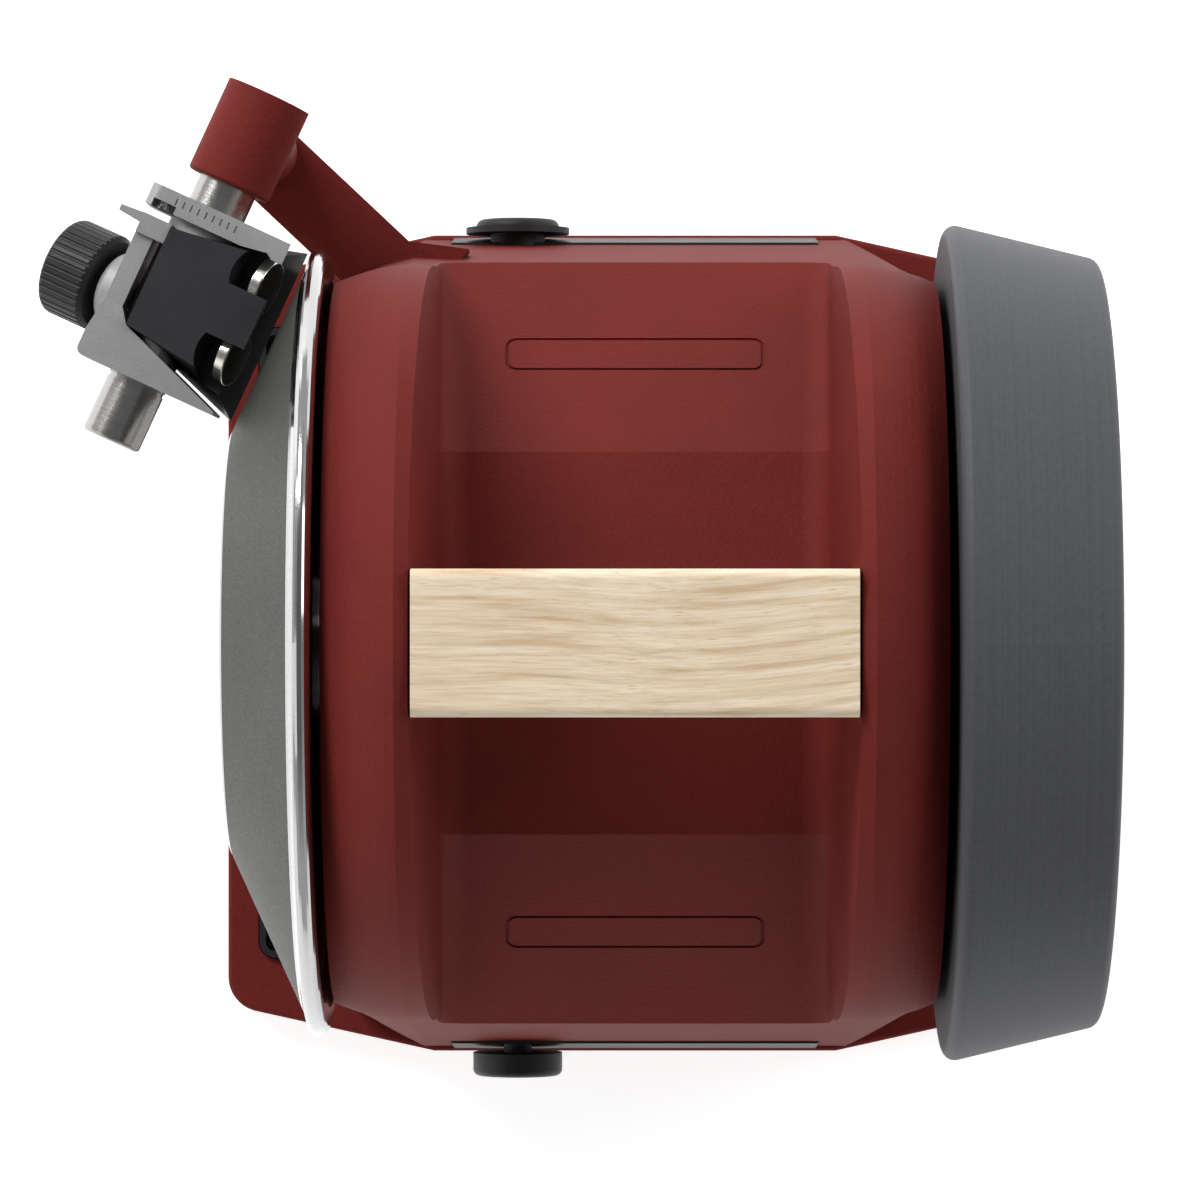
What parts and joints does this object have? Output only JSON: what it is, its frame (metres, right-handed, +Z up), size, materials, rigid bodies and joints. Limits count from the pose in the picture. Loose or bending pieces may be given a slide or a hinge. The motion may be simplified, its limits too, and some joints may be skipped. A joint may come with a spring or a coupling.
{
  "type": "bench knife sharpener",
  "caption": "Electric bench knife sharpener with a coned diamond wheel, a honing wheel, a wooden carrying handle and a tilting knife guide on a round bar",
  "frame": {"origin": "on the bench, under the middle of the machine's overall box", "axes": "+X along the wheel axle to the honing wheel, +Y to the rear, +Z up from the bench"},
  "size_m": [0.2108, 0.2042, 0.1865],
  "materials": {
    "red_paint": "fine textured dark red powder coat",
    "wood": "pale oiled oak",
    "steel": "plain machined steel",
    "cover_steel": "black painted sheet",
    "rubber": "matte black rubber",
    "black_plastic": "moulded black plastic",
    "knob_plastic": "moulded black plastic",
    "bearing_steel": "ground bearing steel",
    "bronze": "sintered bronze",
    "laminations": "stacked electrical steel",
    "copper": "varnished copper wire",
    "capacitor_shell": "drawn can",
    "pale_plastic": "pale moulded plastic",
    "bar_steel": "ground and polished round bar",
    "gear_steel": "oiled gear steel",
    "wheel_chrome": "polished steel wheel",
    "diamond": "matte diamond plating",
    "honing_composite": "turned dark composite",
    "gear_nylon": "natural nylon",
    "fan_plastic": "black nylon",
    "zinc": "bead-blasted cast zinc",
    "guide_plastic": "moulded black plastic",
    "disc_steel": "nickel-plated magnets",
    "tray_plastic": "moulded black plastic"
  },
  "bodies": {
    "base": {"housing": "red_paint", "handle": "wood", "handle_screws": "steel", "bottom_cover": "cover_steel", "feet": "rubber", "cover_screws": "steel", "front_fascia": "black_plastic", "rear_fascia": "black_plastic", "switch_body": "black_plastic", "cable_gland": "rubber", "spindle_bearings": "bearing_steel", "motor_bracket_left": "cover_steel", "motor_bracket_right": "cover_steel", "motor_bearings": "bearing_steel", "idler_bushes": "bronze", "motor_stator": "laminations", "motor_windings": "copper", "stator_stays": "steel", "capacitor": "capacitor_shell", "terminal_block": "pale_plastic", "support_bar": "bar_steel", "bar_set_screw": "steel"},
    "wheel_spindle": {"spindle": "steel", "spindle_gear": "gear_steel", "spindle_spacers": "steel", "grinding_wheel": "wheel_chrome", "diamond_coating": "diamond", "honing_wheel": "honing_composite", "honing_hub": "black_plastic", "wheel_washers": "steel", "wheel_nuts": "steel"},
    "idler": {"idler_shaft": "steel", "idler_gear": "gear_nylon", "idler_pinion": "gear_steel"},
    "motor": {"motor_shaft": "steel", "motor_pinion": "gear_steel", "rotor": "laminations", "cooling_fan": "fan_plastic"},
    "switch": {"switch_knob": "knob_plastic"},
    "carriage": {"guide_carriage": "zinc", "gap_screw": "steel"},
    "cradle": {"guide_cradle": "zinc", "guide_block": "guide_plastic", "holding_discs": "disc_steel"},
    "clamp": {"clamp_knob": "knob_plastic", "clamp_screw": "zinc"},
    "tray": {"dust_tray": "tray_plastic"}
  },
  "joints": [
    {"name": "spindle_spin", "type": "hinge", "parent": "base", "child": "wheel_spindle", "pos_m": [0.01344, -0.01026, 0.0985], "axis": [1, 0, 0], "continuous": true},
    {"name": "idler_spin", "type": "hinge", "parent": "base", "child": "idler", "pos_m": [0.05344, 0.01212, 0.07612], "axis": [1, 0, 0], "continuous": true},
    {"name": "motor_spin", "type": "hinge", "parent": "base", "child": "motor", "pos_m": [0.01344, 0.01212, 0.04597], "axis": [1, 0, 0], "continuous": true},
    {"name": "switch_turn", "type": "hinge", "parent": "base", "child": "switch", "pos_m": [-0.01146, -0.10026, 0.0215], "axis": [0, 1, 0], "range_deg": [0, 90]},
    {"name": "guide_slide", "type": "slide", "parent": "base", "child": "carriage", "axis": [-0.4187, -0.9081, 0], "range_m": [-0.0018, 0.0115]},
    {"name": "guide_tilt", "type": "hinge", "parent": "carriage", "child": "cradle", "pos_m": [-0.07828, 0.05711, 0.1065], "axis": [-0.4187, -0.9081, 0], "range_deg": [-6, 7]},
    {"name": "clamp_turn", "type": "hinge", "parent": "cradle", "child": "clamp", "pos_m": [-0.09587, 0.06324, 0.09901], "axis": [-0.842, 0.3882, -0.3746], "range_deg": [0, 180]},
    {"name": "tray_lift", "type": "slide", "parent": "base", "child": "tray", "axis": [0, 0, 1], "range_m": [0, 0.0055]}
  ],
  "couplings": [
    {"joint": "idler_spin", "follows": "spindle_spin", "ratio": -3.5},
    {"joint": "motor_spin", "follows": "spindle_spin", "ratio": 11.5}
  ]
}
